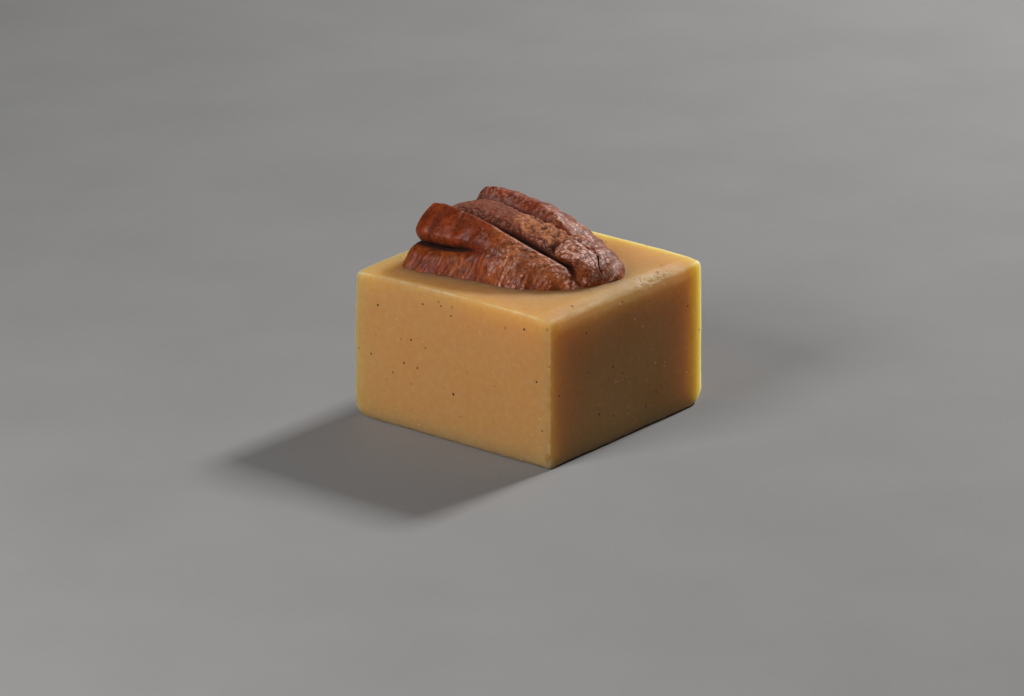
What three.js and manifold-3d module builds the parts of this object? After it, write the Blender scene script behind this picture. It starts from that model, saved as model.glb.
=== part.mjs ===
// A square-cut vanilla truffle with half a pecan pressed into its top.
// Millimetres, +Z up, origin at the centre of the base.
// +X runs along one front face and +Y along the other, and the nut lies lengthwise along Y.
import * as THREE from 'three';
import { mergeVertices } from 'three/addons/utils/BufferGeometryUtils.js';
import Module from 'manifold-3d';

const wasm = await Module();
wasm.setup();

// Driving dimensions of the block
const BLOCK_SIDE = 28;
const BLOCK_HEIGHT = 17.2;
const SIDE_ROUNDING = 0.55;
const TOP_ROUNDING = 0.65;
const BASE_ROUNDING = 0.4;
const SIDE_TAPER = 0.2; // how far each side leans in from the base to the top
const CORNER_DROOP = 0.35; // how far the soft top corners hang below the middle of the top
const DROOP_POWER = 4; // higher keeps the droop closer to the corners
const BASE_WEAR = { pull: 0.65, height: 2.2, power: 12 }; // the left and right base corners, worn in
const EDGE_STEPS = 3; // rows of facets round each edge
const FACE_STEPS = 11; // rows of facets across each face
const MERGE_DISTANCE = 1e-4;

// Driving dimensions of the nut, whose long axis lies at NUT_AXIS_X on the top of the block
const NUT_AXIS_X = -0.4;
const NUT_SINK = 0.6; // depth to which the nut is pressed in
const SEAT_GAP = 0.3; // clearance between the nut and its seat

// The values in brackets run from the far, blunt end of the nut to its near end, at even steps.
const HALF_WIDTH = { left: [10.5, 9.0, 8.4, 8.5, 8.6], right: [10.5, 9.0, 8.4, 7.9, 6.6] };
const MARGIN_FLARE = [1.0, 0.7, 0.2, 0, 0]; // how far the thin lower margin stands out
const FLARE_REACH = 0.6; // how far the margin stands out at the far end
const FLARE_WIDTH = 14; // degrees of the back that the flare takes up
const LOBES = {
  left: { farReach: 11.0, nearReach: 10.8, height: [7.1, 7.1, 6.5, 4.0, 3.4] },
  middle: { farReach: 11.4, nearReach: 11.1, height: [5.1, 5.9, 5.3, 4.7, 4.8] },
  right: { farReach: 8.6, nearReach: 13.9, height: [7.0, 6.6, 6.1, 3.4, 2.2] },
};
// Bluntness of each lobe seen from the side, at its far and its near end
const BLUNTNESS = { left: [8, 2.8], middle: [8, 2.8], right: [30, 2.2] };
const END_CAP = { left: 0.05, middle: 0.05, right: 0.75 }; // share of the plan that the far cliff takes up
const LOBE_BLEND = 4; // degrees over which one lobe gives way to the next
const PLAN_BLUNTNESS = { far: 5, near: 2.1 }; // of the whole nut, seen from above
const REACH_BLEND = { far: 0.2, near: 1 }; // lower keeps the lobes' reaches apart closer to the tip
const SECTION_FULLNESS = 2.4;
const UNDERSIDE_FULLNESS = 4;

// Furrows run lengthwise, from the left margin over the back to the right one. Each angle is in degrees
// over the back, from 0 at the left margin to 180 at the right, and each width is in degrees too.
const FURROWS = [
  { name: 'left crease', angle: [17, 19, 24, 20, 3], depth: [2.4, 1.9, 0.3, 0, 0], width: 9 },
  { name: 'left groove', angle: [61, 59, 52, 42, 24], depth: [2.2, 2.6, 2.9, 2.0, 0], width: 8 },
  { name: 'near pleat', angle: [88, 88, 88, 92, 97], depth: [0, 0, 0, 0, 1.5], width: 11 },
  { name: 'right groove', angle: [112, 112, 111, 113, 146], depth: [2.3, 2.3, 2.1, 1.2, 0.5], width: 10 },
  { name: 'right crease', angle: [163, 161, 156, 150, 180], depth: [2.4, 1.9, 0.3, 0, 0], width: 9 },
];

// Some furrows swing down to the left over the last stretch of the nut, between two shares of its length.
const SWINGS = {
  'left crease': { angle: 1, from: 0.89, to: 0.985 },
  'left groove': { angle: 2, from: 0.88, to: 1 },
  'near pleat': { angle: 45, from: 0.93, to: 1.01 },
};

// The middle lobe is rounded like a log: it falls away from its crest, at the given angle, and has dropped
// by the full amount after the given span of degrees.
const CROWN = { at: 97, span: 40, drop: [1.0, 1.3, 1.5, 1.0, 0] };

// A crack across the middle lobe parts its far stretch from the rounded knob at the near end.
const CRACK = { at: -5.2, depth: 0.5, width: 1.2 };

// Shallow folds cross the flanks.
const FOLD = { depth: 0.12, pitch: 2.4, lean: 2.2 };

// Facets of the nut: along it, between neighbouring furrows over its back, and along its underside
const NUT_FACETS = { along: 58, between: [6, 15, 11, 8, 14, 6], under: 10, crowding: 0.6 };
const SEAT_FACETS = { along: 40, between: [4, 6, 4, 3, 6, 4], under: 10, crowding: 0 };

// A smooth curve through values set at even steps, read at a share from 0 to 1 of its length.
function alongNut(values) {
  const curve = new THREE.SplineCurve(values.map((value, i) => new THREE.Vector2(i, value)));
  return (share) => curve.getPoint(THREE.MathUtils.clamp(share, 0, 1)).y;
}

function furrowPath(angle, swing) {
  const path = alongNut(angle);
  if (swing === undefined) return path;
  return (share) => {
    const swung = THREE.MathUtils.smoothstep(share, swing.from, swing.to);
    return THREE.MathUtils.lerp(path(share), swing.angle, swung);
  };
}

const halfWidthAt = { left: alongNut(HALF_WIDTH.left), right: alongNut(HALF_WIDTH.right) };
const flareAt = alongNut(MARGIN_FLARE);
const crownDropAt = alongNut(CROWN.drop);
const lobeHeightAt = Object.fromEntries(
  Object.entries(LOBES).map(([name, lobe]) => [name, alongNut(lobe.height)]),
);
const furrows = FURROWS.map(({ name, angle, depth, width }) => ({
  name,
  angleAt: furrowPath(angle, SWINGS[name]),
  depthAt: alongNut(depth),
  width,
}));
const leftGroove = furrows.find(({ name }) => name === 'left groove');
const rightGroove = furrows.find(({ name }) => name === 'right groove');

// How much of each lobe shows at an angle over the back.
function lobeWeights(angle, share) {
  const leftEdge = leftGroove.angleAt(share);
  const rightEdge = rightGroove.angleAt(share);
  const left = 1 - THREE.MathUtils.smoothstep(angle, leftEdge - LOBE_BLEND, leftEdge + LOBE_BLEND);
  const right = THREE.MathUtils.smoothstep(angle, rightEdge - LOBE_BLEND, rightEdge + LOBE_BLEND);
  return { left, middle: 1 - left - right, right };
}

function blendLobes(weights, valueOf) {
  return Object.keys(LOBES).reduce((sum, name) => sum + weights[name] * valueOf(name), 0);
}

// Half the width of a section, on the side that an angle over the back lies on.
function halfWidth(angle, share) {
  return halfWidthAt[angle < 90 ? 'left' : 'right'](share);
}

// Share of the full girth that is left at a share of the reach.
function girth(reachShare, bluntness) {
  return (1 - reachShare ** bluntness) ** (1 / bluntness);
}

// Share of a lobe's full height that is left near either end. The far end is capped by a cliff.
function profileGirth(name, far, reachShare, planGirth) {
  const [farBluntness, nearBluntness] = BLUNTNESS[name];
  if (!far) return girth(reachShare, nearBluntness);
  return girth(reachShare, farBluntness) * THREE.MathUtils.smoothstep(planGirth, 0, END_CAP[name]);
}

// Radius of a superellipse with the given half axes, in the direction of an angle in radians.
function superellipseRadius(angle, across, up, fullness) {
  const a = Math.abs(Math.cos(angle)) / across;
  const b = Math.abs(Math.sin(angle)) / up;
  return (a ** fullness + b ** fullness) ** (-1 / fullness);
}

// A valley with a sharp bottom: 1 at its centre, fading to 0 at a distance of one.
function valley(distance) {
  return (1 - Math.min(Math.abs(distance), 1)) ** 2;
}

// Distance from the nut's axis to the skin of its back, before the ends are rounded off.
function backRadius(angle, y, share, weights) {
  const turn = THREE.MathUtils.degToRad(angle);
  const height = blendLobes(weights, (name) => lobeHeightAt[name](share));
  let radius = superellipseRadius(turn, halfWidth(angle, share), height, SECTION_FULLNESS);
  radius += flareAt(share) * valley(Math.min(angle, 180 - angle) / FLARE_WIDTH);
  for (const { angleAt, depthAt, width } of furrows) {
    radius -= depthAt(share) * valley((angle - angleAt(share)) / width);
  }
  radius -= crownDropAt(share) * ((angle - CROWN.at) / CROWN.span) ** 2 * weights.middle;
  radius -= CRACK.depth * valley((y - CRACK.at) / CRACK.width) * weights.middle;
  const wave = Math.cos((2 * Math.PI * (y + FOLD.lean * Math.sin(turn))) / FOLD.pitch);
  return radius + FOLD.depth * Math.cos(turn) ** 2 * wave;
}

// Angle of a facet's edge. The edges follow the furrows and crowd towards them.
function facetAngle(step, share, facets) {
  const lines = [0, ...furrows.map(({ angleAt }) => angleAt(share)), 180];
  let left = step;
  for (let i = 0; i < facets.between.length; i += 1) {
    if (left <= facets.between[i]) {
      const part = left / facets.between[i];
      const crowded = part - (facets.crowding * Math.sin(2 * Math.PI * part)) / (2 * Math.PI);
      return THREE.MathUtils.lerp(lines[i], lines[i + 1], crowded);
    }
    left -= facets.between[i];
  }
  return 180 + (180 * left) / facets.under;
}

// A point of the nut's skin. The latitude runs from 0 at the far tip to pi at the near one, and the steps run
// over the back from the left margin to the right one, then back along the underside.
function nutPoint(latitude, step, facets, growth) {
  const far = latitude < Math.PI / 2;
  const end = far ? 'far' : 'near';
  const rounding = superellipseRadius(latitude, 1, 1, PLAN_BLUNTNESS[end]);
  const reachShare = Math.abs(Math.cos(latitude)) * rounding;
  const planGirth = Math.sin(latitude) * rounding;
  const share = 0.5 * (1 - (far ? reachShare : -reachShare));
  const angle = facetAngle(step, share, facets);
  const over = angle <= 180;
  const overBack = over ? angle : 360 - angle;
  const weights = lobeWeights(overBack, share);
  const upward = blendLobes(weights, (name) => profileGirth(name, far, reachShare, planGirth));
  const reachOf = (name) => (far ? LOBES[name].farReach : -LOBES[name].nearReach);
  const ownShare = planGirth ** REACH_BLEND[end];
  let reach = THREE.MathUtils.lerp(reachOf('middle'), blendLobes(weights, reachOf), ownShare);
  const rise = over ? Math.min(angle, 180 - angle) : 0;
  if (far) reach += FLARE_REACH * valley(rise / FLARE_WIDTH) * planGirth;
  const y = reachShare * reach;
  const turn = THREE.MathUtils.degToRad(angle);
  const margin = halfWidth(overBack, share) + flareAt(share);
  const radius = over
    ? backRadius(angle, y, share, weights)
    : superellipseRadius(turn, margin, NUT_SINK + growth, UNDERSIDE_FULLNESS);
  const across = planGirth * (radius + growth * Math.abs(Math.cos(turn)));
  return new THREE.Vector3(
    NUT_AXIS_X - across * Math.cos(turn),
    y + Math.sign(reach) * growth * reachShare,
    BLOCK_HEIGHT + upward * radius * Math.sin(turn),
  );
}

// The nut as a sphere whose rings become its sections. Growth makes it larger all round, for its seat.
function nutGeometry(facets, growth = 0) {
  const around = facets.between.reduce((sum, count) => sum + count, 0) + facets.under;
  const sphere = new THREE.SphereGeometry(1, around, facets.along);
  const position = sphere.getAttribute('position');
  const columns = around + 1;
  for (let i = 0; i < position.count; i += 1) {
    const latitude = (Math.PI * Math.floor(i / columns)) / facets.along;
    const point = nutPoint(latitude, (i % columns) % around, facets, growth);
    position.setXYZ(i, point.x, point.y, point.z);
  }
  return sphere;
}

// Grid positions from -1 to 1 with narrow steps inside the rounded edges.
function gradedSteps(halfSize, lowRounding, highRounding) {
  const low = lowRounding / halfSize;
  const high = highRounding / halfSize;
  const steps = [];
  for (let i = 0; i < EDGE_STEPS; i += 1) steps.push(-1 + (low * i) / EDGE_STEPS);
  for (let i = 0; i <= FACE_STEPS; i += 1) steps.push(-1 + low + ((2 - low - high) * i) / FACE_STEPS);
  for (let i = 1; i <= EDGE_STEPS; i += 1) steps.push(1 - high + (high * i) / EDGE_STEPS);
  return steps;
}

// The cut block: flat faces that lean in a little, elliptical roundings along every edge, top corners that
// droop, and two base corners, where x and y differ in sign, that are worn in.
function blockGeometry() {
  const half = BLOCK_SIDE / 2;
  const halfHeight = BLOCK_HEIGHT / 2;
  const sideSteps = gradedSteps(half, SIDE_ROUNDING, SIDE_ROUNDING);
  const heightSteps = gradedSteps(halfHeight, BASE_ROUNDING, TOP_ROUNDING);
  const count = sideSteps.length - 1;
  const box = new THREE.BoxGeometry(2, 2, 2, count, count, count);
  const position = box.getAttribute('position');
  const grid = (value, steps) => steps[Math.round(((value + 1) / 2) * count)];
  for (let i = 0; i < position.count; i += 1) {
    const corner = new THREE.Vector3(
      half * grid(position.getX(i), sideSteps),
      half * grid(position.getY(i), sideSteps),
      halfHeight * grid(position.getZ(i), heightSteps),
    );
    const rise = corner.z > 0 ? TOP_ROUNDING : BASE_ROUNDING;
    const rounding = new THREE.Vector3(SIDE_ROUNDING, SIDE_ROUNDING, rise);
    const limit = new THREE.Vector3(half, half, halfHeight).sub(rounding);
    const inner = corner.clone().clamp(limit.clone().negate(), limit);
    const outward = corner.sub(inner).divide(rounding);
    if (outward.lengthSq() > 0) outward.normalize();
    const point = inner.add(outward.multiply(rounding));
    const height = point.z + halfHeight;
    const cornerShare = (point.x * point.y) / (half * half);
    const droop = (CORNER_DROOP * cornerShare ** DROOP_POWER * height) / BLOCK_HEIGHT;
    const worn = Math.max(-cornerShare, 0) ** BASE_WEAR.power * valley(height / BASE_WEAR.height);
    const pull = BASE_WEAR.pull * worn;
    const lean = 1 - (SIDE_TAPER / half) * (height / BLOCK_HEIGHT);
    position.setXYZ(
      i,
      point.x * lean - Math.sign(point.x) * pull,
      point.y * lean - Math.sign(point.y) * pull,
      height - droop,
    );
  }
  return box;
}

// A closed geometry as a solid that can be cut.
function toSolid(geometry) {
  const bare = geometry.clone();
  bare.deleteAttribute('normal');
  bare.deleteAttribute('uv');
  const merged = mergeVertices(bare, MERGE_DISTANCE);
  return new wasm.Manifold(
    new wasm.Mesh({
      numProp: 3,
      vertProperties: new Float32Array(merged.getAttribute('position').array),
      triVerts: new Uint32Array(merged.index.array),
    }),
  );
}

function toGeometry(solid) {
  const mesh = solid.getMesh();
  const geometry = new THREE.BufferGeometry();
  geometry.setAttribute('position', new THREE.BufferAttribute(mesh.vertProperties, 3));
  geometry.setIndex(new THREE.BufferAttribute(mesh.triVerts, 1));
  geometry.computeVertexNormals();
  return geometry;
}

function ganacheBlock() {
  const seated = toSolid(blockGeometry()).subtract(toSolid(nutGeometry(SEAT_FACETS, SEAT_GAP)));
  const material = new THREE.MeshStandardMaterial({ color: 0xb98c54, roughness: 0.5, metalness: 0 });
  const mesh = new THREE.Mesh(toGeometry(seated), material);
  mesh.name = 'ganache_block';
  return mesh;
}

function pecanHalf() {
  const material = new THREE.MeshStandardMaterial({ color: 0x8a4a30, roughness: 0.45, metalness: 0 });
  const mesh = new THREE.Mesh(toGeometry(toSolid(nutGeometry(NUT_FACETS))), material);
  mesh.name = 'pecan_half';
  return mesh;
}

const truffle = new THREE.Group();
truffle.name = 'truffle';
truffle.add(ganacheBlock(), pecanHalf());

export default truffle;
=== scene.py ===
import math
import random
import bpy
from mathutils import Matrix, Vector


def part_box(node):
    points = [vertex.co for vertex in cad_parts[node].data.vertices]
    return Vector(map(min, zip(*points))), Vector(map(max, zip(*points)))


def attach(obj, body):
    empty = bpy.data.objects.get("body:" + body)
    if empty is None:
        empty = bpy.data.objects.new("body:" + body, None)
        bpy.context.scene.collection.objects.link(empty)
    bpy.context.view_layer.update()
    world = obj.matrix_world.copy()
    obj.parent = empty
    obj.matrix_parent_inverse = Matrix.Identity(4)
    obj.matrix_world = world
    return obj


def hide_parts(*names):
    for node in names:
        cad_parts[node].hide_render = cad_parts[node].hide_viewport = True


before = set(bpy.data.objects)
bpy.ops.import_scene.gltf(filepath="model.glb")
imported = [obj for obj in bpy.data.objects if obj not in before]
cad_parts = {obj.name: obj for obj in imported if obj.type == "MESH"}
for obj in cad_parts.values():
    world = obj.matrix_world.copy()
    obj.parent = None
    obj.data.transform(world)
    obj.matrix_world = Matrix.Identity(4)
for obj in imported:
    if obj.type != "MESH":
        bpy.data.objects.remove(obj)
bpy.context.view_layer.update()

from types import SimpleNamespace

import bmesh
import bpy
from bpy.props import FloatProperty, FloatVectorProperty, PointerProperty
from mathutils import Matrix, Vector, noise
from mathutils.bvhtree import BVHTree

bl_info = {
    "name": "Pecan truffle",
    "version": (1, 0, 0),
    "blender": (4, 5, 0),
    "location": "View3D > Sidebar > Truffle",
    "description": "Models a square-cut vanilla truffle with half a pecan pressed into its top",
    "category": "Mesh",
}

MM = 0.001
BODY = "root"

# The block as the frame gives it, in millimetres
BLOCK_LOW, BLOCK_HIGH = (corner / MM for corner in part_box("ganache_block"))
BLOCK_HALF = (BLOCK_HIGH.x - BLOCK_LOW.x) / 2
BLOCK_TOP = BLOCK_HIGH.z

# Grid of the block: rows round each edge and rows across each face
EDGE_ROWS = 7
FACE_ROWS = 94

# Worn and uneven places of the block, in millimetres. Sharpness is an exponent, and paleness is the share of
# the edges' painted highlight that is left on the rubbed edge.
DROOP_SHARPNESS = 4
WEAR_SHARPNESS = 12
RUB = {"at_corners": 0.15, "corner_reach": 4.0, "paleness": 0.3}
CUT_FACE = {"swell": 0.05, "ripple": 0.012, "knife_drag": 0.012, "edge_wobble": 0.07, "edge_crumble": 0.04}
CRUMBLY_PATCH = {"from": 2.2, "to": 8.6, "fade": 1.0, "y": -13.2, "reach": 1.3, "depth": 0.6}
CHIP = {"at": (-13.9, -13.9, 1.2), "reach": 0.75, "depth": 0.45}
FLAT_BASE = 0.02
SEAT = {"searched": 1.5, "edge": (0.1, 0.5), "creep_fall": 0.45, "creep_end": (1.0, 2.0)}
# The edge mark is a painted highlight along the rounded edges, and the crumbly mark is the pale crumbly
# stretch
BLOCK_MARKS = ("edge", "crumbly")

# Seed that shows faintly from under the surface, in millimetres, and the share of the cells that hold a seed
FAINT_SEEDS = (
    {"pitch": 1.9, "largest": 0.24, "share": 0.18, "strength": 0.55},
    {"pitch": 0.7, "largest": 0.1, "share": 0.25, "strength": 0.3},
)

# Bits scattered over the block, in millimetres. Flatness is a bit's height over its radius, sunk is the share
# of that height below the surface, and turn is the largest turn in radians.
SPECK_SEED = 11
SPECKS = {"top_share": 0.5, "flatness": 0.3, "sunk": 0.55, "turn": math.pi, "small_bias": 1.6}
CRUMB_SEED = 23
FACE_CRUMBS = {
    "per_square_mm": 0.12, "top_share": 0.4,
    "radius": (0.03, 0.11), "flatness": 0.8, "sunk": 0.2, "turn": math.pi,
}
GLINTS = {
    "count": 55, "x": 2.0, "spread": 4.5, "rise": (0.1, 0.92),
    "radius": (0.05, 0.13), "flatness": 1.0, "sunk": 0.0, "turn": 3.0,
}
EDGE_CRUMBS = {"count": 70, "spread": 0.25, "radius": (0.05, 0.13), "flatness": 0.8, "sunk": 0.1, "turn": 3.0}
BIT_SLIMNESS = 0.8
BIT_DROP = 2.0
NUT_HEADROOM = 10

# The nut's sections, in millimetres and degrees. Values in brackets run from its far, blunt end to its near
# end, at even steps. Angles run over the back, from 0 at the left margin to 180 at the right one.
NUT_AXIS_X = -0.4
NUT_SINK = 0.6
HALF_WIDTH = {"left": (10.5, 9.0, 8.4, 8.5, 8.6), "right": (10.5, 9.0, 8.4, 7.9, 6.6)}
MARGIN_FLARE = (1.0, 0.7, 0.2, 0.0, 0.0)
FLARE_WIDTH = 14.0
FLARE_REACH = 0.6
LOBES = {
    "left": {"far": 11.0, "near": 10.8, "height": (7.1, 7.1, 6.5, 4.0, 3.4)},
    "middle": {"far": 11.4, "near": 11.1, "height": (5.1, 5.9, 5.3, 4.7, 4.8)},
    "right": {"far": 8.6, "near": 13.9, "height": (7.0, 6.6, 6.1, 3.4, 2.2)},
}
# How blunt each lobe is in profile at its far and its near end, and the share of the plan's girth over which
# it rises from its far tip
BLUNTNESS = {"left": (8, 2.8), "middle": (8, 2.8), "right": (30, 2.2)}
END_CAP = {"left": 0.05, "middle": 0.05, "right": 0.75}
LOBE_BLEND = 4.0
PLAN_BLUNTNESS = {"far": 5.0, "near": 2.1}
REACH_BLEND = {"far": 0.2, "near": 1.0}
SECTION_FULLNESS = 2.4
UNDERSIDE_FULLNESS = 4.0
FURROWS = {
    "left crease": {"angle": (17, 19, 24, 20, 3), "depth": (2.4, 1.9, 0.3, 0, 0), "width": 9},
    "left groove": {"angle": (61, 59, 52, 42, 24), "depth": (2.2, 2.6, 2.9, 2.0, 0), "width": 8},
    "near pleat": {"angle": (88, 88, 88, 92, 97), "depth": (0, 0, 0, 0, 1.5), "width": 11},
    "right groove": {"angle": (112, 112, 111, 113, 146), "depth": (2.3, 2.3, 2.1, 1.2, 0.5), "width": 10},
    "right crease": {"angle": (163, 161, 156, 150, 180), "depth": (2.4, 1.9, 0.3, 0, 0), "width": 9},
}
SWINGS = {
    "left crease": {"angle": 1, "from": 0.89, "to": 0.985},
    "left groove": {"angle": 2, "from": 0.88, "to": 1.0},
    "near pleat": {"angle": 45, "from": 0.93, "to": 1.01},
}
CROWN = {"at": 97.0, "span": 40.0, "drop": (1.0, 1.3, 1.5, 1.0, 0.0)}
CRACK = {"at": -5.2, "depth": 0.5, "width": 1.2}
FOLD = {"depth": 0.12, "pitch": 2.4, "lean": 2.2}
SHADED_DEPTH = 1.4

# Grid of the nut: rings along it, columns between neighbouring furrows, and columns along its underside
NUT_RINGS = 300
NUT_COLUMNS = (22, 62, 64, 44, 60, 24)
UNDERSIDE_COLUMNS = 20
COLUMN_CROWDING = 0.4

# Zones of the nut's skin. Stretches are shares of its length, the knob's is in millimetres towards the near
# end, and angles are in degrees.
NEAR_STRETCH = (0.42, 0.64)
FAR_STRETCH = (0.04, 0.14)
KNOB_STRETCH = (5.0, 6.6)
WALL_ANGLES = (14.0, 28.0)
SKIRT_ANGLES = (12.0, 26.0)
RIM = {"before_groove": 8.0, "width": 18.0}

# Fine relief of the nut's skin: heights, depths and widths in millimetres, angles in degrees, and shares.
# Without a seed, the vector noise changes from run to run.
NOISE_SEED = 1
SKIN = {"swell": 0.15, "ripple": 0.05, "rim": 0.14, "dry": 0.12, "dry_sunk": 0.06, "grain": 0.02}
# Dark is the share of painted shade in the lines between folds and between pleats
FLANK_FOLD = {
    "per_mm": 0.8, "along": 0.13, "seed": 7.3,
    "height": 0.1, "line_width": 0.12, "line_depth": 0.11, "dark": 0.8,
}
FLANK_PLEAT = {
    "per_mm": 2.1, "along": 0.3, "seed": 21.7,
    "height": 0.08, "line_width": 0.2, "line_depth": 0.08, "dark": 0.6,
}
WEB = {"height": 0.05, "line_width": 0.32, "line_depth": 0.09, "crust_depth": 0.13}
KNOB = {"lump": 0.22, "ridge": 0.05, "ridge_pitch": 7.0, "ridge_angles": (72.0, 88.0), "wander": 3.5}
ROLL_CREASES = (
    {"at": 7.4, "angle": 28.0, "lean": -0.02, "from": 14.0, "to": 46.0, "share": 0.8},
    {"at": 5.0, "angle": 50.0, "lean": 0.04, "from": 30.0, "to": 72.0, "share": 0.9},
)
ROLL_CREASE = {"width": 0.32, "depth": 0.26, "wobble": 0.25, "fade_in": 6.0, "fade_out": 10.0}
SLIT = {
    "at": -5.1, "angle": 60.0, "bow": 0.0012, "wobble": 0.25, "width": 0.55, "depth": 0.6,
    "from": (48.0, 58.0), "to": (96.0, 108.0),
}
SLOT = {"narrow": 2.0, "wide": 11.0, "soft": 3.5, "depth": 0.8, "from": 0.26, "to": 0.8}
SHOULDER = {"drop": 0.2, "from": 0.45, "to": 0.9, "past_groove": (-22.0, -5.0)}
CORK = {
    "past_slit": (0.3, 0.7), "fading": (-1.5, 2.5), "past_groove": (15.0, 25.0), "ragged": 10.0,
    "flake": 0.3, "pit": 0.18, "sunk": 0.1,
}
# Where the pale bloom and the painted highlight and sheen show
BLOOM = {
    "streaks_from": (112.0, 120.0), "streaks_to": (138.0, 158.0), "tips": (3.0, 10.0),
    "knob_from": (36.0, 56.0), "knob_to": (10.2, 11.0), "frost_from": (0.64, 0.84),
}
# The furrow mark is painted shade in the furrows, creases, wrinkle lines, slit, slot and pits. The crest mark
# is pale bloom with painted highlight and sheen.
NUT_MARKS = ("furrow", "crest", "cork", "dry", "gold", "rough")

# Floor, softboxes and camera. Places and sizes are in metres, and the sensor is in millimetres. The truffle's
# middle lies right of the picture's centre and below it by these shares of the picture's width.
FLOOR_REACH = 3.0
BACK_SOFTBOX = {"place": (0.400, -0.029, 0.331), "size": 0.08}
SIDE_SOFTBOX = {"place": (-0.230, 0.038, 0.150), "size": 0.10}
OFF_CENTRE = (0.01678, 0.01173)
SENSOR_WIDTH = 36.0
NEAREST_SEEN = 0.01


# Small sums that the shapes share


def smoothstep(value, low, high):
    """0 at low and before it, 1 at high and beyond, with a smooth change between. Low may be the larger."""
    part = min(max((value - low) / (high - low), 0.0), 1.0)
    return part * part * (3.0 - 2.0 * part)


def lerp(start, end, part):
    """The value at a part of the way from start to end."""
    return start + (end - start) * part


def valley(distance):
    """A valley with a sharp bottom: 1 at its centre, fading to 0 at a distance of one."""
    return (1.0 - min(abs(distance), 1.0)) ** 2


def superellipse_radius(angle, across, up, fullness):
    """Radius of a superellipse with the given half axes, in the direction of an angle in radians."""
    a = abs(math.cos(angle)) / across
    b = abs(math.sin(angle)) / up
    return (a**fullness + b**fullness) ** (-1.0 / fullness)


def path_through(values):
    """A smooth curve through values set at even steps, read at a share from 0 to 1 of its length."""
    last = len(values) - 1

    def read(share):
        place = min(max(share, 0.0), 1.0) * last
        step = min(int(place), last - 1)
        part = place - step
        start = values[step]
        end = values[step + 1]
        leaving = (end - values[max(step - 1, 0)]) / 2
        arriving = (values[min(step + 2, last)] - start) / 2
        cubic = 2 * start - 2 * end + leaving + arriving
        square = 3 * end - 3 * start - 2 * leaving - arriving
        return ((cubic * part + square) * part + leaving) * part + start

    return read


def crease(value, width):
    """1 where a noise crosses zero, fading to 0 at the given value on either side."""
    return max(0.0, 1.0 - abs(value) / width)


def finish_piece(bm, name, material, node=None):
    """Turns a bmesh in metres into a smooth-shaded piece that rides on the truffle."""
    mesh = bpy.data.meshes.new(name)
    bm.to_mesh(mesh)
    bm.free()
    mesh.shade_smooth()
    mesh.materials.append(material)
    piece = bpy.data.objects.new(name, mesh)
    bpy.context.scene.collection.objects.link(piece)
    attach(piece, BODY)
    if node:
        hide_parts(node)
    return piece


def surface_of(name):
    """The surface of a finished piece, ready for nearest-point and ray tests."""
    piece = bpy.data.objects.get(name)
    if piece is None:
        raise RuntimeError(f"{name} has to be made first")
    bm = bmesh.new()
    bm.from_mesh(piece.data)
    tree = BVHTree.FromBMesh(bm)
    bm.free()
    return tree


# The nut's sections


def furrow_path(name):
    """The angle of a furrow along the nut. Some swing down to the left margin at the near end."""
    path = path_through(FURROWS[name]["angle"])
    if name not in SWINGS:
        return path
    swing = SWINGS[name]
    return lambda share: lerp(path(share), swing["angle"], smoothstep(share, swing["from"], swing["to"]))


def girth(reach_share, bluntness):
    """Share of the full girth that is left at a share of the reach."""
    return max(1.0 - reach_share**bluntness, 0.0) ** (1.0 / bluntness)


HALF_WIDTH_AT = {side: path_through(widths) for side, widths in HALF_WIDTH.items()}
FLARE_AT = path_through(MARGIN_FLARE)
CROWN_DROP_AT = path_through(CROWN["drop"])
LOBE_HEIGHT_AT = {name: path_through(lobe["height"]) for name, lobe in LOBES.items()}
FURROW_ANGLE_AT = {name: furrow_path(name) for name in FURROWS}
FURROW_DEPTH_AT = {name: path_through(furrow["depth"]) for name, furrow in FURROWS.items()}


def profile_girth(name, far, reach_share, plan_girth):
    """Share of a lobe's full height that is left near either end. At the far end the cap ends in a cliff."""
    far_bluntness, near_bluntness = BLUNTNESS[name]
    if not far:
        return girth(reach_share, near_bluntness)
    return girth(reach_share, far_bluntness) * smoothstep(plan_girth, 0.0, END_CAP[name])


def nut_ring(latitude):
    """All that is the same round one section of the nut. The latitude runs from 0 at the far tip to pi."""
    far = latitude < math.pi / 2
    rounding = superellipse_radius(latitude, 1.0, 1.0, PLAN_BLUNTNESS["far" if far else "near"])
    reach_share = abs(math.cos(latitude)) * rounding
    plan_girth = max(math.sin(latitude), 0.0) * rounding
    share = 0.5 * (1.0 - (reach_share if far else -reach_share))
    return SimpleNamespace(
        share=share,
        reach_blend=REACH_BLEND["far" if far else "near"],
        reach_share=reach_share,
        plan_girth=plan_girth,
        profile_girths={name: profile_girth(name, far, reach_share, plan_girth) for name in LOBES},
        half_widths={side: read(share) for side, read in HALF_WIDTH_AT.items()},
        flare=FLARE_AT(share),
        crown_drop=CROWN_DROP_AT(share),
        heights={name: read(share) for name, read in LOBE_HEIGHT_AT.items()},
        flare_reach=FLARE_REACH if far else 0.0,
        reaches={name: lobe["far"] if far else -lobe["near"] for name, lobe in LOBES.items()},
        angles={name: read(share) for name, read in FURROW_ANGLE_AT.items()},
        depths={name: read(share) for name, read in FURROW_DEPTH_AT.items()},
    )


def column_angle(step, ring):
    """Angle of a column of the nut's grid. Columns follow the furrows and crowd towards them."""
    lines = (0.0, *ring.angles.values(), 180.0)
    left = step
    for index, count in enumerate(NUT_COLUMNS):
        if left <= count:
            part = left / count
            crowded = part - COLUMN_CROWDING * math.sin(math.tau * part) / math.tau
            return lerp(lines[index], lines[index + 1], crowded)
        left -= count
    return 180.0 + 180.0 * left / UNDERSIDE_COLUMNS


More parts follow.
